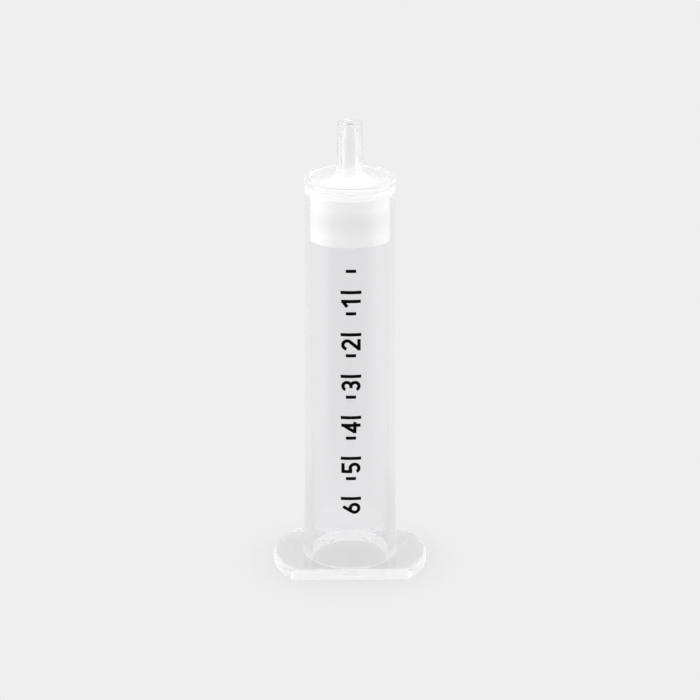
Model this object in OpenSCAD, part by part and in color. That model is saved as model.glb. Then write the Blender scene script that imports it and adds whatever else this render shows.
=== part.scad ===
// Solid-phase extraction cartridge, 6 mL, stood on its finger flange.
// One clear moulded barrel with a male Luer tip holds a white packed bed
// between two porous discs, and carries a plain printed scale.
// All sizes are in millimetres. The axis is Z, with z = 0 on the flange face
// around the open mouth, and the outlet tip at the top.

/* [Reservoir] */
// Inside diameter of the reservoir
bore_d = 13.2; // [12.4:0.1:14.4]
// Height from the flange face to the rim at the outlet end
body_h = 68.5; // [62:0.5:84]
// Wall just under the rim
wall_top = 0.8; // [0.7:0.05:1.1]
// Wall where the foot begins to flare
wall_low = 1.14; // [0.95:0.01:1.6]
// Height of the flared foot above the flange face
foot_h = 11.5; // [6:0.5:14]
// How far the foot flares out where it meets the flange
foot_flare = 0.3; // [0.1:0.05:0.6]
// Height of the lead-in at the mouth
lead_h = 0.75; // [0.4:0.05:1.2]
// Width of the lead-in at the mouth
lead_w = 0.45; // [0.2:0.05:0.7]
// How much the bore narrows towards the discs that it grips
bore_draft = 0.06; // [0.02:0.01:0.1]

/* [Flange] */
// How far the finger grips stand out past the foot
grip_reach = 5.1; // [3:0.1:8]
// How far the two flats stand out past the foot
flat_reach = 0.75; // [0.5:0.05:2]
// Thickness of the flange
flange_t = 1.85; // [1.5:0.05:2.4]
// Rounding of the upper edge of the grips
grip_edge_r = 0.9; // [0.3:0.1:1.1]
// Rounding of the lower edge of the grips
grip_foot_r = 0.2; // [0.1:0.05:0.3]
// Fillet between the foot and the flange
foot_fillet = 0.2; // [0.1:0.05:0.4]

/* [Gate scar] */
// Width of the gate scar in the front flat
gate_w = 3.2; // [2:0.1:4]
// Height of the gate scar, down from the top of the flange
gate_h = 0.9; // [0.5:0.05:1.2]
// Depth of the gate scar
gate_depth = 0.25; // [0.1:0.05:0.4]

/* [Cavity mark] */
// Distance of the two raised strokes from the foot
mark_gap = 1.1; // [0.4:0.1:1.4]
// How far the strokes lie behind the barrel's middle
mark_back = 1.35; // [0.5:0.05:2]
// Length of the longer raised stroke
mark_len = 0.65; // [0.4:0.05:1]
// Length of the shorter raised stroke
mark_len_2 = 0.45; // [0.3:0.05:0.8]
// Width of a raised stroke
mark_w = 0.22; // [0.15:0.01:0.3]
// How far the strokes stand above the flange
mark_rise = 0.08; // [0.05:0.01:0.15]

/* [Rim and end wall] */
// How far the rim's lip stands out past the wall under it
lip = 0.1; // [0.05:0.01:0.25]
// Height over which the lip runs out into the wall
lip_h = 1.3; // [0.8:0.1:2.5]
// Wall of the rim
rim_wall = 0.95; // [0.8:0.05:1.2]
// Rounding of the rim's outer edge
rim_edge_r = 0.28; // [0.1:0.02:0.4]
// Rounding of the rim's inner edge
rim_inner_r = 0.1; // [0.05:0.01:0.2]
// Depth of the end wall's edge below the rim
rim_depth = 1.15; // [0.8:0.05:2]
// Slope of the conical end wall, in degrees
end_slope = 19.7; // [10:0.1:24]
// Thickness of the end wall, measured along the axis
end_wall = 1.1; // [0.9:0.05:1.6]
// Width of the flat seat that the outlet disc bears on
seat_w = 0.5; // [0.3:0.05:1]

/* [Luer tip] */
// Diameter of the Luer cone at its small end
luer_d = 3.93; // [3.93:0.005:3.99]
// Growth of the Luer cone's diameter for each millimetre of length
luer_taper = 0.06; // [0.05:0.005:0.07]
// How far the tip stands above the rim
tip_h = 9.3; // [8:0.1:12]
// Diameter of the outlet hole at the tip's end
outlet_d = 1.84; // [1.4:0.02:2]
// Length of the outlet hole
outlet_len = 2.2; // [1.5:0.1:4]
// Diameter of the passage below the outlet hole
passage_d = 2.4; // [2.1:0.05:2.6]
// Length of the step between the passage and the outlet hole
step_len = 0.4; // [0.2:0.05:1]
// Rounding of the tip's end, outside
tip_edge_r = 0.14; // [0.05:0.01:0.25]
// Rounding of the outlet hole's mouth
outlet_edge_r = 0.16; // [0.05:0.01:0.25]
// Fillet between the tip and the end wall
tip_fillet = 1.6; // [0.8:0.1:2]

/* [Packing] */
// Thickness of each porous disc
disc_t = 1.8; // [1.2:0.1:3]
// Depth of the packed bed between the discs
bed_h = 4.2; // [2:0.1:20]

/* [Printed scale] */
// Number of numbered marks, one for each millilitre
scale_marks = 6; // [3:1:6]
// Thickness of the ink
ink_t = 0.04; // [0.03:0.01:0.08]
// Length of a numbered mark, across the barrel
mark_long = 3.4; // [2:0.1:5]
// Length of the half-step mark between them
mark_short = 1.7; // [1:0.1:3]
// Thickness of a printed line
line_w = 0.55; // [0.3:0.05:0.8]
// Height of a numeral
numeral_h = 3.2; // [2:0.1:4]
// Width of a numeral
numeral_w = 2; // [1.4:0.1:2.4]
// Thickness of a numeral's strokes
stroke_w = 0.56; // [0.3:0.02:0.7]

/* [Hidden] */
$fn = 72;

clear_pp = [0.90, 0.91, 0.92, 0.4];
porous_white = [0.97, 0.97, 0.97];
sorbent_white = [0.94, 0.94, 0.93];
ink_black = [0.05, 0.05, 0.06];

arc_steps = 6;      // straight steps in a rounded corner of a section
eps = 0.01;         // overshoot of a cutter past the face that it leaves

bore_r = bore_d / 2;

// Outside of the barrel: a straight draft, then the flared foot
top_r = bore_r + wall_top;
low_r = bore_r + wall_low;
foot_r = low_r + foot_flare;
lip_z = body_h - rim_edge_r;
wall_top_z = lip_z - lip_h;
rim_r = top_r + lip;

flange_r = foot_r + grip_reach;
flat_y = foot_r + flat_reach;
mark_turn = 12;     // turn of the cavity mark's strokes, in degrees

// Rim, end wall and seat
skirt_r = rim_r - rim_wall;
cone_edge_r = skirt_r - rim_inner_r;
cone_edge_z = body_h - rim_depth;
seat_z = cone_edge_z - end_wall;
seat_inner_r = bore_r - bore_draft - seat_w;

// Luer tip
tip_z = body_h + tip_h;
luer_r = luer_d / 2;
passage_r = passage_d / 2;
outlet_r = outlet_d / 2;
slope = tan(end_slope);

// Packing, from the seat down into the reservoir
outlet_frit_z = seat_z - disc_t;
bed_z = outlet_frit_z - bed_h;
inlet_frit_z = bed_z - disc_t;
draft_lead = 0.5;   // length of bore that already narrows ahead of the discs
grip_z = inlet_frit_z - draft_lead;

// Scale: one millilitre of reservoir is this long
ml = 1000;          // cubic millimetres in a millilitre
ml_len = ml / (PI * bore_r * bore_r);

function lerp(a, b, t) = a + (b - a) * t;

// Points along an arc in the section plane, from angle a0 to a1
function arc(cr, cz, r, a0, a1) =
    [for (i = [0 : arc_steps]) let (a = lerp(a0, a1, i / arc_steps)) [cr + r * cos(a), cz + r * sin(a)]];

// Radius of the barrel's straight outside at height z
function wall_r(z) = lerp(low_r, top_r, (z - foot_h) / (wall_top_z - foot_h));

// Radius of the bore at height z, where it grips the packing
function grip_r(z) = lerp(bore_r, bore_r - bore_draft, (z - grip_z) / (seat_z - grip_z));

// Radius of the Luer cone at height z
function luer_cone_r(z) = luer_r + (tip_z - z) * luer_taper / 2;

// Height of the end wall's outer and inner cones at radius r
function end_top(r) = cone_edge_z + (cone_edge_r - r) * slope;
function end_under(r) = seat_z + (seat_inner_r - r) * slope;

// Fillet from the tip to the outer cone, and the parallel flare inside it
fillet_base_r = luer_cone_r(end_top(luer_r) + tip_fillet);
fillet_cr = fillet_base_r + tip_fillet;
fillet_cz = end_top(fillet_cr) + tip_fillet / cos(end_slope);
flare_rad = tip_fillet + end_wall;
flare_cr = passage_r + flare_rad;
flare_cz = end_under(flare_cr) + flare_rad / cos(end_slope);

// Outside of the moulding, from the flange's lower edge to the tip
function outside_pts() = concat(
    arc(flange_r - grip_foot_r, grip_foot_r, grip_foot_r, -90, 0),
    arc(flange_r - grip_edge_r, flange_t - grip_edge_r, grip_edge_r, 0, 90),
    arc(foot_r + foot_fillet, flange_t + foot_fillet, foot_fillet, 270, 180),
    [[low_r, foot_h], [top_r, wall_top_z], [rim_r, lip_z]],
    arc(rim_r - rim_edge_r, lip_z, rim_edge_r, 0, 90),
    arc(skirt_r + rim_inner_r, body_h - rim_inner_r, rim_inner_r, 90, 180),
    [[skirt_r, cone_edge_z + rim_inner_r], [cone_edge_r, cone_edge_z]],
    arc(fillet_cr, fillet_cz, tip_fillet, 270 - end_slope, 180),
    arc(luer_r - tip_edge_r, tip_z - tip_edge_r, tip_edge_r, 0, 90)
);

// Point on the rounded lead-in, at an angle from its top
function lead_in(a) = [bore_r + lead_w * (1 - cos(a)), lead_h * (1 - sin(a))];

// Inside of the moulding, from the outlet hole back down to the mouth
function inside_pts() = concat(
    arc(outlet_r + outlet_edge_r, tip_z - outlet_edge_r, outlet_edge_r, 90, 180),
    [[outlet_r, tip_z - outlet_len], [passage_r, tip_z - outlet_len - step_len]],
    arc(flare_cr, flare_cz, flare_rad, 180, 270 - end_slope),
    [[seat_inner_r, seat_z], [grip_r(seat_z), seat_z], [bore_r, grip_z]],
    [for (i = [0 : arc_steps]) lead_in(90 * i / arc_steps)]
);

// D-shaped scar in the middle of the front flat, where the mould was filled
module gate_scar() {
    scar_r = (gate_h * gate_h + gate_w * gate_w / 4) / (2 * gate_h);
    intersection() {
        translate([0, -flat_y + gate_depth, flange_t - scar_r])
            rotate([90, 0, 0])
                cylinder(r = scar_r, h = gate_depth + eps);
        translate([-gate_w, -flat_y - 2 * eps, flange_t - gate_h])
            cube([2 * gate_w, gate_depth + 3 * eps, gate_h + eps]);
    }
}

// Two short raised strokes on one grip, left by the mould cavity
module cavity_mark() {
    stroke_h = mark_rise + eps;
    translate([foot_r + mark_gap, mark_back, flange_t - eps])
        rotate([0, 0, mark_turn]) {
            cube([mark_len_2, mark_w, stroke_h]);
            translate([mark_len_2 + mark_w / 2, 3 * mark_w / 2, 0])
                cube([mark_len, mark_w, stroke_h]);
        }
}

module barrel() {
    color(clear_pp) {
        difference() {
            rotate_extrude() polygon(concat(outside_pts(), inside_pts()));
            for (side = [-1, 1])
                translate([0, side * (flat_y + grip_reach), flange_t / 2])
                    cube([3 * flange_r, 2 * grip_reach, 2 * flange_t], center = true);
            gate_scar();
        }
        cavity_mark();
    }
}

// A disc or bed that fills the bore between two heights
module bore_fill(z0, z1) {
    translate([0, 0, z0])
        cylinder(r1 = grip_r(z0), r2 = grip_r(z1), h = z1 - z0);
}

module outlet_frit() {
    color(porous_white) bore_fill(outlet_frit_z, seat_z);
}

module sorbent_bed() {
    color(sorbent_white) bore_fill(bed_z, outlet_frit_z);
}

module inlet_frit() {
    color(porous_white) bore_fill(inlet_frit_z, bed_z);
}

// Height on the barrel of a volume, measured from the packing towards the mouth
function volume_z(volume) = inlet_frit_z - volume * ml_len;

// The strokes below are cut right through the front of the barrel's outside,
// and only the skin of ink around it is kept.
ink_reach = rim_r + 1;
numeral_gap = 0.5;          // between a mark and its numeral
half_w = numeral_w / 2 - stroke_w / 2;   // centre lines of the outer strokes
half_h = numeral_h / 2 - stroke_w / 2;
sector_steps = 4;           // straight steps around a bow's sector
label_drop = line_w / 2 + numeral_gap + numeral_w;
label_room = inlet_frit_z - foot_h - label_drop;
marks_shown = min(scale_marks, floor(label_room / ml_len));

// Straight stroke of a numeral, between two points
module stroke(p, q) {
    d = q - p;
    n = [-d.y, d.x] / norm(d) * stroke_w / 2;
    linear_extrude(height = ink_reach) polygon([p + n, p - n, q - n, q + n]);
}

// Point at radius r and angle a, and the sector from angle a0 to a1 out to radius r
function ray(r, a) = r * [cos(a), sin(a)];
function sector(r, a0, a1) =
    concat([[0, 0]], [for (i = [0 : sector_steps]) ray(r, lerp(a0, a1, i / sector_steps))]);

// Round stroke of a numeral: part of a ring of outer diameter d, from angle a0 to a1
module bow(centre, d, a0, a1) {
    translate(centre)
        intersection() {
            difference() {
                cylinder(d = d, h = ink_reach);
                translate([0, 0, -eps]) cylinder(d = d - 2 * stroke_w, h = ink_reach + 2 * eps);
            }
            linear_extrude(height = ink_reach) polygon(sector(d, a0, a1));
        }
}

module numeral_1() {
    stem_x = 0.12 * numeral_w;
    flag_drop = 0.35 * numeral_w;
    stroke([stem_x, -numeral_h / 2], [stem_x, numeral_h / 2]);
    stroke([stem_x, half_h], [-half_w, half_h - flag_drop]);
}

module numeral_2() {
    centre = [0, numeral_h / 2 - numeral_w / 2];
    neck = -35;             // angle at which the bow runs into the diagonal
    bow_end = 170;
    stroke(centre + half_w * [cos(neck), sin(neck)], [-half_w, -half_h]);
    bow(centre, numeral_w, neck, bow_end);
    stroke([-numeral_w / 2, -half_h], [numeral_w / 2, -half_h]);
}

module numeral_3() {
    bow_d = (numeral_h + stroke_w) / 2;
    centre_x = numeral_w / 2 - bow_d / 2;
    bow_end = 158;          // angle of each bow's free end
    waist = -92;            // angle at which the two bows meet
    tongue_x = -0.14 * numeral_w;
    for (side = [-1, 1])
        bow([centre_x, side * (numeral_h - bow_d) / 2], bow_d, side * bow_end, side * waist);
    stroke([tongue_x, 0], [centre_x + stroke_w / 2, 0]);
}

module numeral_4() {
    stem_x = 0.2 * numeral_w;
    bar_y = -0.2 * numeral_h;
    diagonal_top = numeral_h / 2 - 0.7 * stroke_w;
    diagonal_foot = -half_w - 0.15 * stroke_w;
    stroke([stem_x, -numeral_h / 2], [stem_x, numeral_h / 2]);
    stroke([-numeral_w / 2, bar_y], [numeral_w / 2, bar_y]);
    stroke([stem_x, diagonal_top], [diagonal_foot, bar_y]);
}

module numeral_5() {
    stem_x = -half_w + 0.2 * stroke_w;
    bar_x = half_w + 0.3 * stroke_w;
    centre = [0, numeral_w / 2 - numeral_h / 2];
    stem_y = centre.y + 0.55 * half_w;
    tail = -152;            // angle of the bow's free end
    shoulder = 138;         // angle at which the bow meets the stem
    stroke([stem_x, numeral_h / 2], [stem_x, stem_y]);
    stroke([stem_x - stroke_w / 2, half_h], [bar_x, half_h]);
    bow(centre, numeral_w, tail, shoulder);
}

module numeral_6() {
    centre = [0, numeral_w / 2 - numeral_h / 2];
    neck = 152;             // angle at which the diagonal leaves the bowl
    tip_x = 0.16 * numeral_w;
    stroke(centre + half_w * [cos(neck), sin(neck)], [tip_x, half_h]);
    bow(centre, numeral_w, 0, 180);
    bow(centre, numeral_w, -180, 0);
}

module numeral(n) {
    if (n == 1) numeral_1();
    if (n == 2) numeral_2();
    if (n == 3) numeral_3();
    if (n == 4) numeral_4();
    if (n == 5) numeral_5();
    if (n == 6) numeral_6();
}

// Numbered mark with its numeral beside it, and the half-step mark before it
module scale_mark(n) {
    full_z = volume_z(n);
    half_z = volume_z(n - 1 / 2);
    for (mark = [[full_z, mark_long], [half_z, mark_short]])
        translate([mark[0] - line_w / 2, -mark[1] / 2, 0])
            cube([line_w, mark[1], ink_reach]);
    translate([full_z - label_drop + numeral_w / 2, 0, 0]) numeral(n);
}

module printed_scale() {
    skin_z0 = foot_h;
    skin_z1 = wall_top_z;
    color(ink_black)
        intersection() {
            rotate_extrude()
                polygon([[wall_r(skin_z0), skin_z0], [wall_r(skin_z0) + ink_t, skin_z0],
                    [wall_r(skin_z1) + ink_t, skin_z1], [wall_r(skin_z1), skin_z1]]);
            // laid out flat along the barrel, then stood up against its front
            rotate([90, 0, 0])
                rotate([0, 0, 90])
                    for (n = [1 : marks_shown]) scale_mark(n);
        }
}

barrel();
outlet_frit();
sorbent_bed();
inlet_frit();
printed_scale();
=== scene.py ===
"""Solid-phase extraction cartridge, 6 mL, stood on its finger flange.

One clear polypropylene moulding with a male Luer tip holds a white packed bed
between two porous discs, and carries a plain printed volume scale. Sections are
drawn in millimetres around the Z axis, and each finished mesh is in metres.
"""

import logging
import math
from dataclasses import dataclass, field
from enum import Enum

import bmesh
import bpy
from mathutils import Matrix, Vector
from mathutils.noise import noise as rough_value


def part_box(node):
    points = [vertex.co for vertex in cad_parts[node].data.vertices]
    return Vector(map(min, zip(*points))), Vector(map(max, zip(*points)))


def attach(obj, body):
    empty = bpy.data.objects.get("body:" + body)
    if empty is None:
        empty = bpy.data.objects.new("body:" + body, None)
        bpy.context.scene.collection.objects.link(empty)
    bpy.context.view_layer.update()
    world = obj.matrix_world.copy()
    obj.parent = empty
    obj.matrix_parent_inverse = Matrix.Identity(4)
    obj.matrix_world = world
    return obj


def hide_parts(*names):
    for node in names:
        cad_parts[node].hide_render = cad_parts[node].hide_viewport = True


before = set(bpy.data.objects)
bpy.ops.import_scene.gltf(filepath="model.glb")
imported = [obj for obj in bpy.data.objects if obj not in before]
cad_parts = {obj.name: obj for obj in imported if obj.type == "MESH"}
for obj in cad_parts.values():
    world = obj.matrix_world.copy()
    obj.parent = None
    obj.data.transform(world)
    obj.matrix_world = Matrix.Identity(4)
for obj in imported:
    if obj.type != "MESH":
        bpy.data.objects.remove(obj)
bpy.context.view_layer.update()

MM = 0.001
FULL_TURN = 2 * math.pi
TURN_STEPS = 192  # sides of a full turn
SHARP_ANGLE = math.radians(35)  # edges that turn by more than this stay sharp
MERGE_MM = 1e-5  # points closer together than this become one
PLANE_MM = 1e-6  # points closer than this to a plane lie on it
PATTERN_RANGE = (0.3, 0.7)  # most of a pattern's values lie between these
SMOOTH_STEP = {"interpolation_type": "SMOOTHSTEP"}  # a Map Range node that eases in and out
COLOURS = {"data_type": "RGBA"}  # a Mix node that mixes colours, from input 6 to input 7
WHITE = (1.0, 1.0, 1.0, 1.0)
ROOT = "root"
LOG = logging.getLogger("cartridge")


def linear(hex_colour: str) -> tuple[float, float, float, float]:
    """Turns an sRGB hex colour into the linear colour that shaders take.

    Args:
        hex_colour: six hex digits, with or without a leading hash.

    Returns:
        Linear red, green and blue, and an alpha of 1.
    """
    digits = hex_colour.lstrip("#")
    srgb = [int(digits[i : i + 2], 16) / 255 for i in (0, 2, 4)]
    # The sRGB curve is a straight line near black and a power above it.
    red, green, blue = (c / 12.92 if c <= 0.04045 else ((c + 0.055) / 1.055) ** 2.4 for c in srgb)
    return red, green, blue, 1.0


def node_box_mm(name: str) -> tuple[Vector, Vector]:
    """Gives the lowest and highest corner of a CAD node, in millimetres."""
    low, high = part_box(name)
    return low / MM, high / MM


# ---------------------------------------------------------------- sections


@dataclass(frozen=True)
class Corner:
    """A corner of a section outline, in millimetres.

    Attributes:
        r: distance from the axis.
        z: height.
        rounding: radius of the rounded corner, or 0 for a sharp one.
        stretch: height of the rounding over its width, where it is an ellipse.
    """

    r: float
    z: float
    rounding: float = 0.0
    stretch: float = 1.0


@dataclass
class Section:
    """A closed outline beside the axis, which is spun into a solid of revolution.

    Attributes:
        corners: the outline's corners in order.
        spin_steps: number of steps in the full turn.
        arc_step: largest turn between two points of a rounded corner, in radians.
        least_steps: smallest number of steps in a rounded corner.
    """

    corners: list[Corner]
    spin_steps: int = TURN_STEPS
    arc_step: float = math.radians(8)
    least_steps: int = 2

    def spun(self) -> bmesh.types.BMesh:
        """Draws the outline, rounds its corners and spins it around the axis.

        Returns:
            A closed mesh in millimetres, with its normals outward.
        """
        bm = bmesh.new()
        verts = [bm.verts.new((c.r, 0, c.z)) for c in self.corners]
        for a, b in zip(verts, verts[1:] + verts[:1]):
            bm.edges.new((a, b))
        for vert, corner in zip(verts, self.corners):
            if corner.rounding:
                self._round(bm, vert, corner)
        bmesh.ops.spin(
            bm,
            geom=bm.verts[:] + bm.edges[:],
            cent=(0, 0, 0),
            axis=(0, 0, 1),
            angle=FULL_TURN,
            steps=self.spin_steps,
            use_merge=True,
        )
        bmesh.ops.remove_doubles(bm, verts=bm.verts, dist=MERGE_MM)
        bmesh.ops.recalc_face_normals(bm, faces=bm.faces)
        return bm

    def _round(self, bm: bmesh.types.BMesh, vert: bmesh.types.BMVert, corner: Corner) -> None:
        """Rounds one corner of the outline.

        Args:
            bm: the mesh that holds the outline.
            vert: the corner's vertex.
            corner: the rounding to give it.
        """
        squash = 1 / corner.stretch
        bmesh.ops.scale(bm, vec=(1, 1, squash), verts=bm.verts)
        ways = [(e.other_vert(vert).co - vert.co).normalized() for e in vert.link_edges]
        turn = math.pi - ways[0].angle(ways[1])
        bmesh.ops.bevel(
            bm,
            geom=[vert],
            offset=corner.rounding * math.tan(turn / 2),
            offset_type="OFFSET",
            segments=max(self.least_steps, math.ceil(turn / self.arc_step)),
            profile=0.5,
            affect="VERTICES",
            material=-1,
        )
        bmesh.ops.scale(bm, vec=(1, 1, corner.stretch), verts=bm.verts)


def meeting(cone: Corner, slope: float, upright: Corner, draft: float) -> Corner:
    """Finds where a sloping cone meets a nearly upright one.

    Args:
        cone: a point on the sloping cone.
        slope: rise of the sloping cone for each millimetre inwards.
        upright: a point on the upright cone.
        draft: how much the upright cone's radius grows for each millimetre down.

    Returns:
        The point where they meet.
    """
    z = (cone.z + (cone.r - upright.r - draft * upright.z) * slope) / (1 - draft * slope)
    return Corner(upright.r + (upright.z - z) * draft, z)


def cut_off(
    bm: bmesh.types.BMesh, point: tuple[float, float, float], outward: tuple[float, float, float]
) -> bmesh.types.BMFace:
    """Cuts a closed mesh off at a plane, and closes it with a flat face.

    Args:
        bm: the mesh, in millimetres.
        point: a point on the plane.
        outward: the plane's direction towards what is cut off.

    Returns:
        The new flat face.
    """
    cut = bmesh.ops.bisect_plane(
        bm,
        geom=bm.verts[:] + bm.edges[:] + bm.faces[:],
        dist=PLANE_MM,
        plane_co=point,
        plane_no=outward,
        clear_outer=True,
    )
    edges = [e for e in cut["geom_cut"] if isinstance(e, bmesh.types.BMEdge)]
    return bmesh.ops.edgeloop_fill(bm, edges=edges)["faces"][0]


def shade(mesh: bpy.types.Mesh) -> None:
    """Shades a mesh smooth, and keeps its real edges sharp."""
    mesh.shade_smooth()
    mesh.set_sharp_from_angle(angle=SHARP_ANGLE)


def finished(bm: bmesh.types.BMesh, name: str) -> bpy.types.Object:
    """Makes a finished object of a mesh drawn in millimetres, and frees the mesh.

    Args:
        bm: the mesh, in millimetres.
        name: the object's name.

    Returns:
        The object, in metres, at the origin.
    """
    bmesh.ops.scale(bm, vec=(MM, MM, MM), verts=bm.verts)
    mesh = bpy.data.meshes.new(name)
    bm.to_mesh(mesh)
    bm.free()
    shade(mesh)
    made = bpy.data.objects.new(name, mesh)
    bpy.context.scene.collection.objects.link(made)
    return made


def weigh_normals(piece: bpy.types.Object, area_weight: int = 100) -> None:
    """Shades long faces by their own normal, so that only the roundings bend light.

    Args:
        piece: the piece whose shading is changed.
        area_weight: how much a large face counts, at its most by default.
    """
    modifier = piece.modifiers.new("weighted_normals", "WEIGHTED_NORMAL")
    modifier.keep_sharp = True
    modifier.weight = area_weight


class Joining(Enum):
    """What a shape does to the piece that it meets, by the modifier's own word."""

    CUT_OUT = "DIFFERENCE"
    JOIN_ON = "UNION"


def combine(piece: bpy.types.Object, shape: bpy.types.Object, joining: Joining) -> None:
    """Cuts a shape out of a piece, or joins it on, and removes the shape.

    Args:
        piece: the piece that is changed.
        shape: the closed shape that cuts it or is joined to it.
        joining: which of the two it does.
    """
    modifier = piece.modifiers.new("combine", "BOOLEAN")
    modifier.operation = joining.value
    modifier.solver = "EXACT"
    modifier.object = shape
    evaluated = piece.evaluated_get(bpy.context.evaluated_depsgraph_get())
    mesh = bpy.data.meshes.new_from_object(evaluated)
    piece.modifiers.remove(modifier)
    old = piece.data
    piece.data = mesh
    mesh.name = piece.name
    bpy.data.meshes.remove(old)
    bpy.data.objects.remove(shape)


def dress(piece: bpy.types.Object, material: bpy.types.Material, node: str) -> None:
    """Gives a piece its material and its body, and hides the CAD node that it replaces.

    Args:
        piece: the finished piece.
        material: its material.
        node: the CAD node that it replaces.
    """
    piece.data.materials.clear()
    piece.data.materials.append(material)
    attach(piece, ROOT)
    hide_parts(node)


# ---------------------------------------------------------------- finishes


def add_node(
    tree: bpy.types.NodeTree, kind: str, settings: dict[str, object] | str | None = None, **links: object
) -> bpy.types.Node:
    """Adds a node with its settings, its socket values and its links.

    Args:
        tree: the node tree.
        kind: the node's Blender type, without the word ShaderNode before it.
        settings: properties of the node, or the one word of a Math node's operation.
        links: for each input a value, an output socket, or a node for its first output.
            The input is named with underscores for spaces, or by its number, as in0.

    Returns:
        The new node.
    """
    made = tree.nodes.new("ShaderNode" + kind)
    if isinstance(settings, str):
        settings = {"operation": settings}
    for name, value in (settings or {}).items():
        setattr(made, name, value)
    for name, value in links.items():
        numbered = name.startswith("in") and name[2:].isdigit()
        socket = made.inputs[int(name[2:]) if numbered else name.replace("_", " ")]
        if isinstance(value, bpy.types.Node):
            value = value.outputs[0]
        if isinstance(value, bpy.types.NodeSocket):
            tree.links.new(value, socket)
        else:
            socket.default_value = value
    return made


def new_material(name: str) -> tuple[bpy.types.Material, bpy.types.NodeTree, bpy.types.NodeSocket]:
    """Makes a material that holds only the place on the piece.

    Args:
        name: the material's name.

    Returns:
        The material, its node tree, and the place on the piece that its patterns follow.
    """
    material = bpy.data.materials.new(name)
    material.use_nodes = True
    material.node_tree.nodes.clear()
    place = add_node(material.node_tree, "TexCoord")
    return material, material.node_tree, place.outputs["Object"]


def span(side: str, limits: tuple[float, float], unit: float = 1.0) -> dict[str, float]:
    """Gives a Map Range node's two limits on one side, From or To, each times a unit."""
    return {f"{side}_Min": limits[0] * unit, f"{side}_Max": limits[1] * unit}


def pattern_scale(size_mm: float) -> float:
    """Gives the pattern scale at which one blotch has a real size, in millimetres."""
    return 1 / (size_mm * MM)


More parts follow.
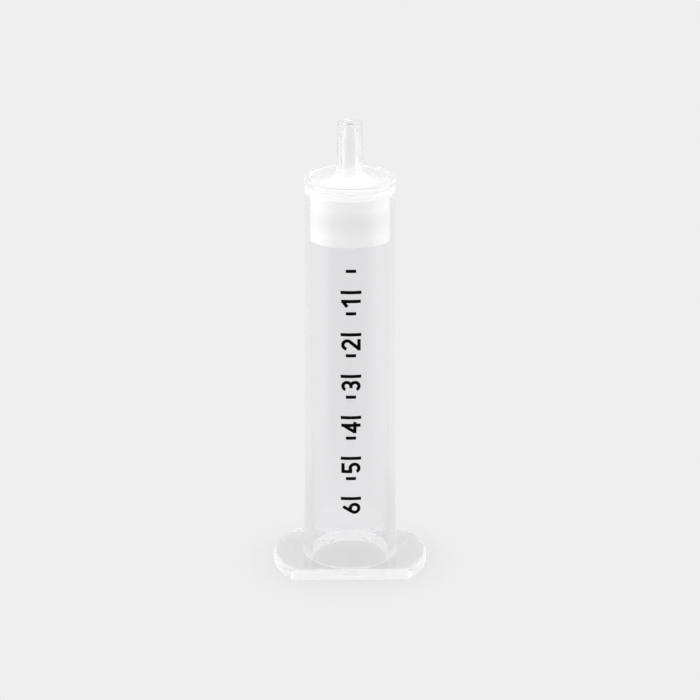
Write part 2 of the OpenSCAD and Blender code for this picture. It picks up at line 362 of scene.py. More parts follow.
@dataclass(frozen=True)
class ClearPolypropylene:
    """Random-copolymer polypropylene, injection moulded in a polished mould.

    It is clear with a faint milky haze, which whitens its thick parts: the
    flange's edge, the end wall and, less, the rim and the tip. Its skin is
    glossy with a slight orange peel.
    """

    name: str = "polypropylene_clear_moulded"
    ior: float = 1.49
    body: str = "#FBFBFC"
    haze: str = "#FDFDFD"
    sent_back: float = 0.5  # share of the hazed light that turns back
    # Share of the light that the haze scatters, by place.
    wall_haze: tuple[float, float] = (0.002, 0.006)
    edge_haze: float = 0.4
    flat_haze: float = 0.9
    skin_haze: float = 0.25
    core_haze: float = 0.85
    rim_haze: float = 0.08
    rim_top_haze: float = 0.3
    tip_haze: float = 0.1
    # Where each place begins and where it is reached, as a radius or a height.
    round_edge_mm: tuple[float, float] = (12.24, 13.04)
    flat_edge_mm: tuple[float, float] = (7.89, 8.69)
    end_z_mm: tuple[float, float] = (64.6, 66.4)
    end_r_mm: tuple[float, float] = (6.53, 6.45)
    rim_top_mm: tuple[float, float] = (68.0, 68.4)
    tip_z_mm: tuple[float, float] = (69.4, 72.5)
    foot_z_mm: tuple[float, float] = (24.0, 10.0)
    flange_z_mm: tuple[float, float] = (2.6, 2.0)
    under_z_mm: tuple[float, float] = (0.5, 0.2)
    end_slope: float = 0.358  # rise of the end wall for each millimetre inwards
    core_mm: tuple[float, float] = (69.4, 68.7)  # heights at the axis, down the end wall's slope
    # The unevenness of the haze and the orange peel.
    roughness: tuple[float, float] = (0.02, 0.05)
    cloud_mm: float = 4.0
    peel_mm: float = 0.9
    peel_depth_mm: float = 0.0002
    # What the plastic lets through of the light that shines through it.
    lamp_share: str = "#FAFAFA"
    foot_share: str = "#F0F0F0"
    flange_share: str = "#FDFDFD"
    under_share: str = "#F8F8F8"

    def _steps(
        self, tree: bpy.types.NodeTree, place: bpy.types.NodeSocket
    ) -> dict[str, bpy.types.NodeSocket]:
        """Adds a smooth step from 0 to 1 at each place where the moulding's thickness changes.

        Args:
            tree: the material's node tree.
            place: the place on the piece.

        Returns:
            Each step's value under the name of its place.
        """
        axes = add_node(tree, "SeparateXYZ", Vector=place)
        x, y, z = axes.outputs
        flat = add_node(tree, "CombineXYZ", X=x, Y=y)
        length = add_node(tree, "VectorMath", "LENGTH", in0=flat)
        radius = length.outputs["Value"]
        away = add_node(tree, "Math", "ABSOLUTE", in0=y)
        at_axis = add_node(tree, "Math", "MULTIPLY_ADD", in0=radius, in1=self.end_slope, in2=z)
        ways = {
            "round_edge": (radius, self.round_edge_mm),
            "flat_edge": (away.outputs[0], self.flat_edge_mm),
            "end": (z, self.end_z_mm),
            "inside_rim": (radius, self.end_r_mm),
            "core": (at_axis.outputs[0], self.core_mm),
            "rim_top": (z, self.rim_top_mm),
            "tip": (z, self.tip_z_mm),
            "foot": (z, self.foot_z_mm),
            "flange": (z, self.flange_z_mm),
            "under": (z, self.under_z_mm),
        }
        return {
            name: add_node(
                tree, "MapRange", SMOOTH_STEP, Value=way, **span("From", limits_mm, MM)
            ).outputs[0]
            for name, (way, limits_mm) in ways.items()
        }

    def _hazed_share(
        self, tree: bpy.types.NodeTree, steps: dict[str, bpy.types.NodeSocket], clouds: bpy.types.NodeSocket
    ) -> bpy.types.NodeSocket:
        """Adds the share of light that the haze scatters at each place.

        Args:
            tree: the material's node tree.
            steps: the places where the thickness changes.
            clouds: the thin walls' haze, with its faint unevenness.

        Returns:
            The share, from 0 to 1.
        """
        # Each row names a share, the step that it follows, and its value before and after
        # that step, which is a number or an earlier row.
        rows = (
            ("end_wall", "core", self.skin_haze, self.core_haze),
            ("end_and_tip", "tip", "end_wall", self.tip_haze),
            ("rim", "rim_top", self.rim_haze, self.rim_top_haze),
            ("end", "inside_rim", "rim", "end_and_tip"),
            ("barrel", "end", 0.0, "end"),
            ("round_edge", "round_edge", "barrel", self.edge_haze),
            ("everywhere", "flat_edge", "round_edge", self.flat_haze),
        )
        made: dict[str, bpy.types.NodeSocket] = {}
        for name, place, low, high in rows:
            level = add_node(
                tree, "MapRange", Value=steps[place], To_Min=made.get(low, low), To_Max=made.get(high, high)
            )
            made[name] = level.outputs[0]
        share = add_node(
            tree, "Math", {"operation": "ADD", "use_clamp": True}, in0=made["everywhere"], in1=clouds
        )
        return share.outputs[0]

    def _let_through(
        self, tree: bpy.types.NodeTree, steps: dict[str, bpy.types.NodeSocket]
    ) -> bpy.types.NodeSocket:
        """Adds the plastic as it is to light on its way to what it holds and to the floor.

        Args:
            tree: the material's node tree.
            steps: the places where the thickness changes.

        Returns:
            The shader's output.
        """
        tints = (("foot", self.foot_share), ("flange", self.flange_share), ("under", self.under_share))
        tint = linear(self.lamp_share)
        for place, colour in tints:
            mixed = add_node(tree, "Mix", COLOURS, in0=steps[place], in6=tint, in7=linear(colour))
            tint = mixed.outputs[2]
        return add_node(tree, "BsdfTransparent", Color=tint).outputs[0]

    def material(self) -> bpy.types.Material:
        """Builds the material.

        Lamps shine through it to what it holds. Light that is turned back inside
        a wall leaves at the next skin, so that none of it is lost there.

        Returns:
            The clear material.
        """
        material, tree, place = new_material(self.name)
        steps = self._steps(tree, place)
        clouds = add_node(tree, "TexNoise", Vector=place, Scale=pattern_scale(self.cloud_mm))
        roughness, wall_haze = (
            add_node(
                tree, "MapRange", Value=clouds, **span("From", PATTERN_RANGE), **span("To", levels)
            ).outputs[0]
            for levels in (self.roughness, self.wall_haze)
        )
        peel = add_node(tree, "TexNoise", Vector=place, Scale=pattern_scale(self.peel_mm))
        bump = add_node(tree, "Bump", Distance=self.peel_depth_mm * MM, Height=peel)
        clear = add_node(
            tree,
            "BsdfPrincipled",
            Base_Color=linear(self.body),
            Roughness=roughness,
            IOR=self.ior,
            Transmission_Weight=1.0,
            Normal=bump,
        )
        onward = add_node(tree, "BsdfTranslucent", Color=linear(self.haze))
        back = add_node(tree, "BsdfDiffuse", Color=linear(self.haze))
        milky = add_node(tree, "MixShader", in0=self.sent_back, in1=onward, in2=back)
        hazed = add_node(
            tree, "MixShader", in0=self._hazed_share(tree, steps, wall_haze), in1=clear, in2=milky
        )
        rays = add_node(tree, "LightPath")
        lit = add_node(
            tree, "Math", "MAXIMUM", in0=rays.outputs["Is Shadow Ray"], in1=rays.outputs["Is Diffuse Ray"]
        )
        passed = add_node(
            tree, "Math", {"operation": "ADD", "use_clamp": True}, in0=lit, in1=rays.outputs["Glossy Depth"]
        )
        surface = add_node(tree, "MixShader", in0=passed, in1=hazed, in2=self._let_through(tree, steps))
        add_node(tree, "OutputMaterial", Surface=surface)
        return material


@dataclass(frozen=True)
class PorousPolyethylene:
    """Polyethylene powder sintered into a porous disc.

    It is bright white and quite matte, with a fine open grain of fused beads, whose hollows are painted
    darker as painted shade.
    """

    name: str = "polyethylene_porous_sintered"
    pale: str = "#FDFDFD"
    # painted shade in the hollows between the beads
    grain_and_painted_hollow_shade: str = "#F5F5F5"
    bead_mm: float = 0.26  # real beads are about 0.1 mm, drawn coarser so that they show
    bead_depth_mm: float = 0.008
    bead_strength: float = 0.8
    roughness: float = 0.85
    ior: float = 1.5

    def material(self) -> bpy.types.Material:
        """Builds the material.

        Returns:
            The white porous material.
        """
        material, tree, place = new_material(self.name)
        beads = add_node(tree, "TexVoronoi", Vector=place, Scale=pattern_scale(self.bead_mm))
        bump = add_node(
            tree,
            "Bump",
            {"invert": True},
            Strength=self.bead_strength,
            Distance=self.bead_depth_mm * MM,
            Height=beads.outputs["Distance"],
        )
        # The hollows between the beads are painted darker, as painted shade.
        hollow_painted_shade = add_node(tree, "MapRange", Value=beads.outputs["Distance"], **span("From", PATTERN_RANGE))
        colour = add_node(tree, "Mix", COLOURS, in0=hollow_painted_shade, in6=linear(self.pale), in7=linear(self.grain_and_painted_hollow_shade))
        shader = add_node(
            tree,
            "BsdfPrincipled",
            Base_Color=colour.outputs[2],
            Roughness=self.roughness,
            IOR=self.ior,
            Normal=bump,
        )
        add_node(tree, "OutputMaterial", Surface=shader)
        return material


@dataclass(frozen=True)
class BondedSilica:
    """Silica gel particles, dry packed.

    It is a matte white powder, slightly greyer than the discs, with a grain that is only just coarse enough
    to see. Its colour is painted darker midway between the discs as painted shade, and painted whiter next
    to them as a painted glow; the grain's tone is painted darker in its dips as painted shade.
    """

    name: str = "silica_gel_packed_powder"
    pale: str = "#FDFDFC"
    # grain tone, painted darker in the grain's dips as painted shade
    grain_and_painted_hollow_shade: str = "#F3F3F2"
    painted_shade_midway: str = "#F2F2F1"  # painted shade midway between the discs, where the least light gets in
    # Centre of the painted shade, and how far from it the painted glow brings the powder back to its own
    # colour.
    painted_shade_middle_mm: float = 62.35
    painted_glow_mm: tuple[float, float] = (0.0, 2.7)
    grain_mm: float = 0.26  # real grains are about 0.05 mm, drawn coarser so that they show
    grain_depth_mm: float = 0.016
    grain_strength: float = 0.7
    roughness: float = 0.95

    def _painted_glow(self, tree: bpy.types.NodeTree, place: bpy.types.NodeSocket) -> bpy.types.NodeSocket:
        """Adds a painted glow: the powder's colour is painted whiter towards the discs, as if they passed
        light on to it.

        Args:
            tree: the material's node tree.
            place: the place on the piece.

        Returns:
            The painted glow's share, from 0 midway between the discs.
        """
        axes = add_node(tree, "SeparateXYZ", Vector=place)
        above = add_node(tree, "Math", "SUBTRACT", in0=axes.outputs["Z"], in1=self.painted_shade_middle_mm * MM)
        away = add_node(tree, "Math", "ABSOLUTE", in0=above)
        share = add_node(tree, "MapRange", SMOOTH_STEP, Value=away, **span("From", self.painted_glow_mm, MM))
        return share.outputs[0]

    def material(self) -> bpy.types.Material:
        """Builds the material.

        Returns:
            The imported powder's material.
        """
        material, tree, place = new_material(self.name)
        grain = add_node(tree, "TexNoise", Vector=place, Scale=pattern_scale(self.grain_mm))
        bump = add_node(
            tree, "Bump", Strength=self.grain_strength, Distance=self.grain_depth_mm * MM, Height=grain
        )
        # The grain's tone is painted darker in its dips, as painted shade, and paler where it stands up.
        raised = add_node(tree, "MapRange", Value=grain, **span("From", PATTERN_RANGE))
        colour = add_node(tree, "Mix", COLOURS, in0=raised, in6=linear(self.grain_and_painted_hollow_shade), in7=linear(self.pale))
        # Painted shade midway between the discs, giving way to the painted glow next to them.
        lit = add_node(
            tree, "Mix", COLOURS, in0=self._painted_glow(tree, place), in6=linear(self.painted_shade_midway), in7=colour.outputs[2]
        )
        shader = add_node(
            tree, "BsdfPrincipled", Base_Color=lit.outputs[2], Roughness=self.roughness, Normal=bump
        )
        add_node(tree, "OutputMaterial", Surface=shader)
        return material


@dataclass(frozen=True)
class PrintedInk:
    """Black pad-printing ink on polypropylene.

    It is a dense black that is nearly matte, with the faint uneven lay of a printed film.
    """

    name: str = "ink_black_pad_printed"
    dense: str = "#010101"
    thin: str = "#060607"
    lay_mm: float = 0.35
    lay_detail: float = 3.0
    lay_depth_mm: float = 0.004
    lay_strength: float = 0.5
    roughness: tuple[float, float] = (0.45, 0.65)
    specular: float = 0.05

    def material(self) -> bpy.types.Material:
        """Builds the material.

        Returns:
            The ink's material.
        """
        material, tree, place = new_material(self.name)
        lay = add_node(
            tree, "TexNoise", Vector=place, Scale=pattern_scale(self.lay_mm), Detail=self.lay_detail
        )
        bump = add_node(
            tree, "Bump", Strength=self.lay_strength, Distance=self.lay_depth_mm * MM, Height=lay
        )
        thinness, roughness = (
            add_node(
                tree, "MapRange", Value=lay, **span("From", PATTERN_RANGE), **span("To", levels)
            ).outputs[0]
            for levels in ((0.0, 1.0), self.roughness)
        )
        colour = add_node(tree, "Mix", COLOURS, in0=thinness, in6=linear(self.dense), in7=linear(self.thin))
        shader = add_node(
            tree,
            "BsdfPrincipled",
            Base_Color=colour.outputs[2],
            Roughness=roughness,
            Specular_IOR_Level=self.specular,
            Normal=bump,
        )
        add_node(tree, "OutputMaterial", Surface=shader)
        return material


# ---------------------------------------------------------------- the moulding


class Flat(Enum):
    """The two flats of the flange, by the way that each one faces along Y."""

    FRONT = -1
    BACK = 1


@dataclass
class Barrel:
    """The clear moulding: reservoir, flange, rim, end wall and Luer tip.

    All sizes are in millimetres and angles in degrees. Those without a value are
    read from the frame.
    """

    wall_top: float = 0.8  # the reservoir's wall under the rim
    wall_low: float = 1.14  # the same at the foot
    foot_h: float = 11.5  # where the foot's flare begins
    foot_flare: float = 0.3
    flange_t: float = 1.85
    grip_edge_r: float = 0.9  # roundings of the flange's rim, above and below
    grip_foot_r: float = 0.2
    foot_fillet: float = 0.2
    lead_h: float = 0.75  # the rounded lead-in of the mouth
    lead_w: float = 0.45
    lip: float = 0.1  # how far the rim stands out from the wall
    lip_h: float = 1.3
    rim_wall: float = 0.95
    rim_edge_r: float = 0.28
    rim_inner_r: float = 0.28
    rim_depth: float = 1.15  # the rim's height above the end wall's outer edge
    end_slope: float = 19.7
    seat_w: float = 0.5  # flat ledge on which the outlet disc seats
    end_wall: float = 1.1
    tip_h: float = 9.3
    luer_d: float = 3.93  # at the tip's small end
    luer_taper: float = 0.06  # growth in diameter for each millimetre
    outlet_d: float = 1.84
    outlet_len: float = 2.2
    passage_d: float = 2.4
    step_len: float = 0.4
    tip_edge_r: float = 0.14
    outlet_edge_r: float = 0.16
    tip_fillet: float = 1.6
    draft_lead: float = 0.5  # how far under the packing the bore begins to narrow
    flat_edge_r: float = 0.1
    flat_edge_steps: int = 3
    gate_w: float = 3.2  # the gate scar, a D in the front flat
    gate_h: float = 0.9
    gate_depth: float = 0.25
    gate_steps: int = 96
    mark_gap: float = 1.1  # the cavity mark, two raised strokes beside the foot
    mark_back: float = 1.35
    mark_w: float = 0.22
    mark_pitch: float = 1.5  # from one stroke to the next, in widths of a stroke
    mark_rise: float = 0.08
    mark_edge_steps: int = 2
    mark_turn: float = 12.0
    mark_lengths: tuple[float, float] = (0.45, 0.65)
    bore_r: float = field(init=False)
    grip_r: float = field(init=False)
    seat_z: float = field(init=False)
    inlet_z: float = field(init=False)
    tip_z: float = field(init=False)
    flange_r: float = field(init=False)
    flat_y: float = field(init=False)

    def __post_init__(self) -> None:
        """Reads the sizes that the frame holds."""
        _, barrel_high = node_box_mm("barrel")
        _, outlet_high = node_box_mm("outlet_frit")
        inlet_low, inlet_high = node_box_mm("inlet_frit")
        self.flange_r, self.flat_y, self.tip_z = barrel_high
        self.grip_r, self.seat_z = outlet_high.x, outlet_high.z
        self.bore_r, self.inlet_z = inlet_high.x, inlet_low.z

    @property
    def foot_r(self) -> float:
        """Radius of the foot where it meets the flange."""
        return self.bore_r + self.wall_low + self.foot_flare

    def section(self) -> Section:
        """Draws the moulding's section, from the flange up and back down the bore.

        Returns:
            The closed section.
        """
        slope = math.tan(math.radians(self.end_slope))
        body_h = self.tip_z - self.tip_h
        top_r = self.bore_r + self.wall_top
        rim_r = top_r + self.lip
        skirt_r = rim_r - self.rim_wall
        cone_edge_r = skirt_r - self.rim_inner_r
        cone_edge_z = body_h - self.rim_depth
        seat_inner_r = self.grip_r - self.seat_w
        luer_r = self.luer_d / 2
        outlet_r = self.outlet_d / 2
        passage_r = self.passage_d / 2
        tip_base = meeting(
            Corner(cone_edge_r, cone_edge_z), slope, Corner(luer_r, self.tip_z), self.luer_taper / 2
        )
        throat_z = self.seat_z + (seat_inner_r - passage_r) * slope
        step_z = self.tip_z - self.outlet_len
        outside = [
            Corner(self.flange_r, 0, self.grip_foot_r),
            Corner(self.flange_r, self.flange_t, self.grip_edge_r),
            Corner(self.foot_r, self.flange_t, self.foot_fillet),
            Corner(self.bore_r + self.wall_low, self.foot_h),
            Corner(top_r, body_h - self.rim_edge_r - self.lip_h),
            Corner(rim_r, body_h, self.rim_edge_r),
            Corner(skirt_r, body_h, self.rim_inner_r),
            Corner(skirt_r, cone_edge_z - self.rim_inner_r * slope, self.rim_inner_r),
            Corner(tip_base.r, tip_base.z, self.tip_fillet),
            Corner(luer_r, self.tip_z, self.tip_edge_r),
        ]
        inside = [
            Corner(outlet_r, self.tip_z, self.outlet_edge_r),
            Corner(outlet_r, step_z),
            Corner(passage_r, step_z - self.step_len),
            Corner(passage_r, throat_z, self.tip_fillet + self.end_wall),
            Corner(seat_inner_r, self.seat_z),
            Corner(self.grip_r, self.seat_z),
            Corner(self.bore_r, self.inlet_z - self.draft_lead),
            Corner(self.bore_r, 0, self.lead_w, self.lead_h / self.lead_w),
        ]
        return Section(outside + inside)

    def _cut_flat(self, bm: bmesh.types.BMesh, flat: Flat) -> None:
        """Cuts one flat on the flange and rounds its edges.

        Args:
            bm: the moulding's mesh.
            flat: which of the two flats it is.
        """
        face = cut_off(bm, (0, flat.value * self.flat_y, 0), (0, flat.value, 0))
        bmesh.ops.bevel(
            bm,
            geom=face.edges[:],
            offset=self.flat_edge_r,
            offset_type="OFFSET",
            segments=self.flat_edge_steps,
            profile=0.5,
            affect="EDGES",
            clamp_overlap=True,
            material=-1,
        )

    def _gate_scar(self) -> bpy.types.Object:
        """Shapes the cutter of the gate scar: a disc set into the front flat, cut off to a D.

        Returns:
            The cutter.
        """
        scar_r = (self.gate_h**2 + self.gate_w**2 / 4) / (2 * self.gate_h)
        top_z = self.flange_t - self.flat_edge_r
        bm = bmesh.new()
        bmesh.ops.create_cone(
            bm,
            cap_ends=True,
            segments=self.gate_steps,
            radius1=scar_r,
            radius2=scar_r,
            depth=2 * self.gate_depth,
        )
        bmesh.ops.rotate(bm, cent=(0, 0, 0), matrix=Matrix.Rotation(math.pi / 2, 3, "X"), verts=bm.verts)
        bmesh.ops.translate(bm, vec=(0, Flat.FRONT.value * self.flat_y, top_z - scar_r), verts=bm.verts)
        cut_off(bm, (0, 0, top_z - self.gate_h), (0, 0, -1))
        bmesh.ops.recalc_face_normals(bm, faces=bm.faces)
        return finished(bm, "gate_scar_cutter")

    def _cavity_stroke(self, start_x: float, start_y: float, length: float) -> bpy.types.Object:
        """Shapes one raised stroke of the cavity mark on the flange.

        Args:
            start_x: where the stroke starts, from the mark's own corner.
            start_y: how far back it lies from that corner.
            length: the stroke's length.

        Returns:
            The stroke.
        """
        bm = bmesh.new()
        bmesh.ops.create_cube(bm, size=1)
        bmesh.ops.scale(bm, vec=(length, self.mark_w, 2 * self.mark_rise), verts=bm.verts)
        bmesh.ops.translate(bm, vec=(start_x + length / 2, start_y + self.mark_w / 2, 0), verts=bm.verts)
        bmesh.ops.bevel(
            bm,
            geom=[e for e in bm.edges if all(v.co.z > 0 for v in e.verts)],
            offset=self.mark_rise / 2,
            segments=self.mark_edge_steps,
            profile=0.5,
            affect="EDGES",
            material=-1,
        )
        turn = Matrix.Rotation(math.radians(self.mark_turn), 3, "Z")
        bmesh.ops.rotate(bm, cent=(0, 0, 0), matrix=turn, verts=bm.verts)
        place = (self.foot_r + self.mark_gap, self.mark_back, self.flange_t)
        bmesh.ops.translate(bm, vec=place, verts=bm.verts)
        return finished(bm, "cavity_stroke")

    def build(self) -> bpy.types.Object:
        """Builds the moulding.

        Returns:
            The finished, undressed piece.
        """
        bm = self.section().spun()
        for flat in Flat:
            self._cut_flat(bm, flat)
        piece = finished(bm, "moulded_barrel")
        combine(piece, self._gate_scar(), Joining.CUT_OUT)
        short, long = self.mark_lengths
        second_x, second_y = short + self.mark_w / 2, self.mark_pitch * self.mark_w
        combine(piece, self._cavity_stroke(0, 0, short), Joining.JOIN_ON)
        combine(piece, self._cavity_stroke(second_x, second_y, long), Joining.JOIN_ON)
        shade(piece.data)
        weigh_normals(piece)
        return piece

    def dress(self, piece: bpy.types.Object, finish: ClearPolypropylene) -> None:
        """Dresses the moulding in its clear plastic."""
        dress(piece, finish.material(), "barrel")


# ---------------------------------------------------------------- the packing


@dataclass
class Packing:
    """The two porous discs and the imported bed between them.

    Attributes:
        side_gap: air between a disc and the bore, in millimetres.
        bed_gap: air between the bed and the bore, in millimetres.
        overlap: how far the bed sinks into the discs, and the outlet disc into its seat, in millimetres.
        disc_edge_r: rounding of the inlet disc's lower edge, in millimetres.
        edge_steps: number of steps in that rounding.
        ragged: how far that edge wanders up and down where beads broke off, in millimetres.
        bead: spacing of those breaks, in millimetres.
    """

    side_gap: float = 0.02
    bed_gap: float = 0.03
    overlap: float = 0.02
    disc_edge_r: float = 0.05
    edge_steps: int = 4
    ragged: float = 0.2
    bead: float = 0.3

    def _filling(
        self, node: str, name: str, side_gap: float, below: float, above: float, edge_r: float = 0.0
    ) -> bpy.types.Object:
        """Shapes one filling of the bore in place of its CAD node.

        Args:
            node: the CAD node.
            name: the piece's name.
            side_gap: air between the filling and the bore, in millimetres.
            below: how far it reaches below its node, in millimetres.
            above: how far it reaches above its node, in millimetres.
            edge_r: rounding of its lower edge, in millimetres.

        Returns:
            The finished, undressed piece.
        """
        low, high = node_box_mm(node)
        bottom, top = low.z - below, high.z + above
        bm = bmesh.new()
        bmesh.ops.create_circle(
            bm, cap_ends=True, cap_tris=False, segments=TURN_STEPS, radius=high.x - side_gap
        )
        bmesh.ops.translate(bm, vec=(0, 0, bottom), verts=bm.verts)
        raised = bmesh.ops.extrude_face_region(bm, geom=bm.faces[:])
        bmesh.ops.translate(
            bm,
            vec=(0, 0, top - bottom),
            verts=[v for v in raised["geom"] if isinstance(v, bmesh.types.BMVert)],
        )
        bmesh.ops.recalc_face_normals(bm, faces=bm.faces)
        if edge_r:
            ring = [e for e in bm.edges if all(abs(v.co.z - bottom) < PLANE_MM for v in e.verts)]
            bmesh.ops.bevel(
                bm,
                geom=ring,
                offset=edge_r,
                segments=self.edge_steps,
                profile=0.5,
                affect="EDGES",
                material=-1,
            )
            self._break_edge(bm, bottom, edge_r)
        return finished(bm, name)

    def _break_edge(self, bm: bmesh.types.BMesh, bottom: float, edge_r: float) -> None:
        """Makes the lower edge of a disc uneven, as where it was punched from a sheet.

        Args:
            bm: the disc's mesh, in millimetres.
            bottom: height of its lower face.
            edge_r: rounding of the edge.
        """
        cap = [f for f in bm.faces if all(abs(v.co.z - bottom) < PLANE_MM for v in f.verts)]
        bmesh.ops.inset_region(bm, faces=cap, thickness=self.bead)
        core = {v for f in cap for v in f.verts}
        for vert in bm.verts:
            if vert not in core and vert.co.z < bottom + edge_r + PLANE_MM:
                vert.co.z += self.ragged * rough_value(vert.co.xyz / self.bead)

    def build(self) -> dict[str, bpy.types.Object]:
        """Builds the discs and the bed.

        Returns:
            Each piece under the name of the CAD node that it replaces.
        """
        return {
            "outlet_frit": self._filling("outlet_frit", "outlet_disc", self.side_gap, 0, self.overlap),
            "sorbent_bed": self._filling(
                "sorbent_bed", "packed_bed", self.bed_gap, self.overlap, self.overlap
            ),
            "inlet_frit": self._filling("inlet_frit", "inlet_disc", self.side_gap, 0, 0, self.disc_edge_r),
        }

    def dress(
        self, pieces: dict[str, bpy.types.Object], disc: PorousPolyethylene, bed: BondedSilica
    ) -> None:
        """Dresses the discs and the bed.

        Args:
            pieces: each piece under the name of the CAD node that it replaces.
            disc: the discs' finish.
            bed: the bed's finish.
        """
        porous = disc.material()
        dress(pieces["outlet_frit"], porous, "outlet_frit")
        dress(pieces["inlet_frit"], porous, "inlet_frit")
        dress(pieces["sorbent_bed"], bed.material(), "sorbent_bed")


# ---------------------------------------------------------------- the print


@dataclass
class PrintedScale:
    """The printed volume scale: numbered marks and half-step marks.

    Attributes:
        lift: how far the ink's film stands off the wall, in millimetres.
        merge: points of the film closer together than this become one, in millimetres.
    """

    lift: float = 0.02
    merge: float = 1e-4

    def build(self) -> bpy.types.Object:
        """Takes the ink's film from its CAD node, and sets it on the wall.

        Returns:
            The finished, undressed piece.
        """
        low, _ = node_box_mm("printed_scale")
        bm = bmesh.new()
        bm.from_mesh(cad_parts["printed_scale"].data)
        bmesh.ops.scale(bm, vec=(1 / MM, 1 / MM, 1 / MM), verts=bm.verts)
        bmesh.ops.remove_doubles(bm, verts=bm.verts, dist=self.merge)
        outward = 1 + self.lift / -low.y
        bmesh.ops.scale(bm, vec=(outward, outward, 1), verts=bm.verts)
        return finished(bm, "scale_print")

    def dress(self, piece: bpy.types.Object, finish: PrintedInk) -> None:
        """Dresses the print in its ink."""
        dress(piece, finish.material(), "printed_scale")


# ---------------------------------------------------------------- the studio


class Side(Enum):
    """The side on which a softbox stands, by its sign along X."""

    LEFT = -1
    RIGHT = 1


@dataclass
class Studio:
    """The pale floor, the room's light, the lamps and the camera, in metres and degrees."""

    pale: str = "#EFEFEF"  # what the floor and the background show
    # The room's brightness on the object: level, what is added overhead, and to each side.
    horizon: float = 0.27
    ceiling: float = 0.66
    wash: dict[Side, float] = field(default_factory=lambda: {Side.LEFT: 3.95, Side.RIGHT: 3.45})
    wash_power: float = 2.0  # the higher, the narrower the light from the sides
    # The room as glossy parts mirror it: pale, darker towards the camera, bright overhead.
    mirrored_pale: float = 0.88
    mirrored_dark: float = 0.4
    mirrored_gain: float = 8.0
    overhead: tuple[float, float] = (0.84, 0.95)
    dark_spread: tuple[float, float] = (0.3, 0.8)
    # The floor, which is matte near the object and evenly lit beyond.
    floor_half: float = 6.0
    floor_drop: float = 0.00003
    floor_share: float = 0.9
    floor_white: float = 0.87
    shadow_reach: tuple[float, float] = (0.0098, 0.021)
    dark_reach: tuple[float, float] = (0.035, 0.08)
    dark_share: float = 0.6
    # The softboxes.
    box_w: float = 0.4
    box_h: float = 0.36
    box_distance: float = 0.75
    box_height: float = 0.2
    box_forward: float = 11.0
    box_power: dict[Side, float] = field(default_factory=lambda: {Side.LEFT: 0.5, Side.RIGHT: 0.38})
    # The camera.
    camera_distance: float = 0.427213
    camera_elevation: float = 20.73
    camera_yaw: float = 1.2
    camera_clip: tuple[float, float] = (0.01, 20.0)
    target_z: float = 0.038324
    lens_mm: float = 131.39
    sensor_mm: float = 36.0

    def _lit_level(
        self, tree: bpy.types.NodeTree, x: bpy.types.NodeSocket, z: bpy.types.NodeSocket
    ) -> bpy.types.NodeSocket:
        """Adds how brightly the room lights the object from each direction.

        Args:
            tree: the world's node tree.
            x: how far the direction points to the right.
            z: how far it points up.

        Returns:
            The brightness.
        """
        level = add_node(tree, "Math", "MULTIPLY_ADD", in0=z, in1=self.ceiling, in2=self.horizon)
        low = add_node(tree, "Math", "SUBTRACT", in0=1.0, in1=z)
        for side in Side:
            sideways = add_node(
                tree, "Math", {"operation": "MULTIPLY", "use_clamp": True}, in0=x, in1=side.value
            )
            narrow = add_node(tree, "Math", "POWER", in0=sideways, in1=self.wash_power)
            lobe = add_node(tree, "Math", "MULTIPLY", in0=narrow, in1=low)
            level = add_node(tree, "Math", "MULTIPLY_ADD", in0=lobe, in1=self.wash[side], in2=level)
        return level.outputs[0]

    def _mirrored_level(
        self, tree: bpy.types.NodeTree, y: bpy.types.NodeSocket, z: bpy.types.NodeSocket
    ) -> bpy.types.NodeSocket:
        """Adds how bright the room looks where a glossy part mirrors it.

        Args:
            tree: the world's node tree.
            y: how far the direction points to the back.
            z: how far it points up.

        Returns:
            The brightness.
        """
        towards_camera = add_node(
            tree,
            "MapRange",
            SMOOTH_STEP,
            Value=y,
            **span("From", self.dark_spread, -1.0),
            **span("To", (self.mirrored_pale, self.mirrored_dark)),
        )
        gain = add_node(
            tree,
            "MapRange",
            SMOOTH_STEP,
            Value=z,
            **span("From", self.overhead),
            **span("To", (1.0, self.mirrored_gain)),
        )
        level = add_node(tree, "Math", "MULTIPLY", in0=towards_camera, in1=gain)
        return level.outputs[0]

    def world(self) -> None:
        """Lights the object from the room, and shows the pale background behind it."""
        world = bpy.data.worlds.new("studio")
        bpy.context.scene.world = world
        world.use_nodes = True
        tree = world.node_tree
        tree.nodes.clear()
        way = add_node(tree, "TexCoord")
        axes = add_node(tree, "SeparateXYZ", Vector=way.outputs["Generated"])
        x, y, z = axes.outputs
        seen = add_node(tree, "Background", Color=linear(self.pale), Strength=1.0)
        mirrored = add_node(tree, "Background", Color=WHITE, Strength=self._mirrored_level(tree, y, z))
        around = add_node(tree, "Background", Color=WHITE, Strength=self._lit_level(tree, x, z))
        rays = add_node(tree, "LightPath")
        turned = add_node(tree, "Math", "MINIMUM", in0=rays.outputs["Glossy Depth"], in1=1.0)
        clear = add_node(tree, "MixShader", in0=turned, in1=seen, in2=mirrored)
        # A ray that only clear or glossy skins have bent sees the background, and a
        # scattered one finds the room's light.
        bent = rays.outputs["Is Camera Ray"]
        for kind in ("Is Transmission Ray", "Is Glossy Ray"):
            either = add_node(tree, "Math", "MAXIMUM", in0=bent, in1=rays.outputs[kind])
            bent = either.outputs[0]
        sharp = add_node(
            tree,
            "Math",
            {"operation": "SUBTRACT", "use_clamp": True},
            in0=bent,
            in1=rays.outputs["Is Diffuse Ray"],
        )
        shown = add_node(tree, "MixShader", in0=sharp, in1=around, in2=clear)
        add_node(tree, "OutputWorld", Surface=shown)
        # The room's light changes slowly, so scattered rays find it by themselves.
        world.cycles.sampling_method = "NONE"

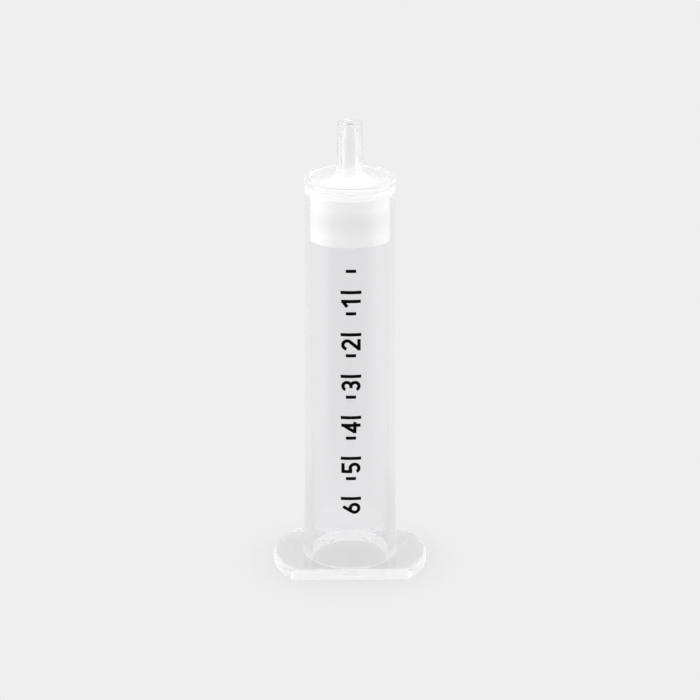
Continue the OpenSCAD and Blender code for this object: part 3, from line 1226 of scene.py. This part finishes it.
    def _paper(self) -> bpy.types.Material:
        """Builds the floor's pale matte paper.

        Returns:
            A material that is evenly lit far off, keeps a shadow near the object,
            and is dark towards the camera in what glossy parts reflect.
        """
        material, tree, place = new_material("paper_pale_matte")
        pale = linear(self.pale)
        length = add_node(tree, "VectorMath", "LENGTH", in0=place)
        reach = length.outputs["Value"]
        along = add_node(tree, "SeparateXYZ", Vector=place)
        matte_share = add_node(
            tree,
            "MapRange",
            SMOOTH_STEP,
            Value=reach,
            **span("From", self.shadow_reach),
            **span("To", (self.floor_share, 0.0)),
        )
        grey = [self.floor_white * level for level in pale[:3]]
        matte = add_node(tree, "BsdfDiffuse", Color=(*grey, 1.0))
        glow = add_node(tree, "Emission", Color=pale, Strength=1.0)
        seen = add_node(tree, "MixShader", in0=matte_share, in1=glow, in2=matte)
        forward = add_node(tree, "Math", "DIVIDE", in0=along.outputs["Y"], in1=reach)
        facing = add_node(
            tree,
            "MapRange",
            SMOOTH_STEP,
            Value=forward,
            **span("From", self.dark_spread, -1.0),
            To_Max=self.dark_share,
        )
        beyond = add_node(tree, "MapRange", SMOOTH_STEP, Value=reach, **span("From", self.dark_reach))
        dark = add_node(tree, "Math", "MULTIPLY", in0=facing, in1=beyond)
        left = add_node(tree, "Math", "SUBTRACT", in0=1.0, in1=dark)
        mirrored = add_node(tree, "Emission", Color=pale, Strength=left)
        rays = add_node(tree, "LightPath")
        turned = add_node(tree, "Math", "MINIMUM", in0=rays.outputs["Glossy Depth"], in1=1.0)
        shown = add_node(tree, "MixShader", in0=turned, in1=seen, in2=mirrored)
        add_node(tree, "OutputMaterial", Surface=shown)
        # The floor is far too wide to be sampled as a lamp.
        material.cycles.emission_sampling = "NONE"
        return material

    def floor(self) -> None:
        """Lays the pale floor, which keeps the object's shadow."""
        bm = bmesh.new()
        bmesh.ops.create_grid(bm, x_segments=1, y_segments=1, size=self.floor_half / MM)
        bmesh.ops.translate(bm, vec=(0, 0, -self.floor_drop / MM), verts=bm.verts)
        floor = finished(bm, "floor")
        floor.data.materials.append(self._paper())

    def lamps(self) -> None:
        """Stands a softbox on each side of the object, a little towards the camera."""
        for side in Side:
            light = bpy.data.lights.new(f"softbox_{side.name.lower()}", "AREA")
            light.shape = "RECTANGLE"
            light.size = self.box_w
            light.size_y = self.box_h
            light.energy = self.box_power[side]
            lamp = bpy.data.objects.new(light.name, light)
            forward = math.radians(self.box_forward)
            out = self.box_distance * Vector((side.value * math.cos(forward), -math.sin(forward), 0))
            lamp.location = out + Vector((0, 0, self.box_height))
            aim = Vector((0, 0, self.target_z)) - lamp.location
            lamp.rotation_euler = aim.to_track_quat("-Z", "Y").to_euler()
            lamp.visible_camera = False
            lamp.visible_transmission = False
            lamp.visible_diffuse = False
            bpy.context.scene.collection.objects.link(lamp)

    def camera(self) -> None:
        """Sets the camera at the viewing angle, looking slightly down."""
        data = bpy.data.cameras.new("camera")
        data.lens = self.lens_mm
        data.sensor_width = self.sensor_mm
        data.clip_start, data.clip_end = self.camera_clip
        camera = bpy.data.objects.new("camera", data)
        yaw, elevation = math.radians(self.camera_yaw), math.radians(self.camera_elevation)
        level = Vector((-math.sin(yaw), -math.cos(yaw), 0))
        back = level * math.cos(elevation) + Vector((0, 0, math.sin(elevation)))
        camera.location = Vector((0, 0, self.target_z)) + back * self.camera_distance
        camera.rotation_euler = (-back).to_track_quat("-Z", "Y").to_euler()
        bpy.context.scene.collection.objects.link(camera)
        bpy.context.scene.camera = camera

    def build(self) -> None:
        """Sets up the whole studio."""
        bpy.context.scene.view_settings.view_transform = "Standard"
        self.world()
        self.floor()
        self.lamps()
        self.camera()


def report(piece: bpy.types.Object) -> None:
    """Logs a piece's name and size.

    Args:
        piece: the finished piece.
    """
    faces = len(piece.data.polygons)
    size = ", ".join(f"{length / MM:.2f}" for length in piece.dimensions)
    LOG.info("%s: %d faces, %s mm", piece.name, faces, size)


def main() -> None:
    """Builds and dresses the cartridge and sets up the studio."""
    logging.basicConfig(level=logging.INFO, format="%(message)s")
    barrel = Barrel()
    moulding = barrel.build()
    barrel.dress(moulding, ClearPolypropylene())
    packing = Packing()
    fillings = packing.build()
    packing.dress(fillings, PorousPolyethylene(), BondedSilica())
    scale = PrintedScale()
    film = scale.build()
    scale.dress(film, PrintedInk())
    for piece in (moulding, *fillings.values(), film):
        report(piece)
    Studio().build()


if __name__ == "__main__":
    main()
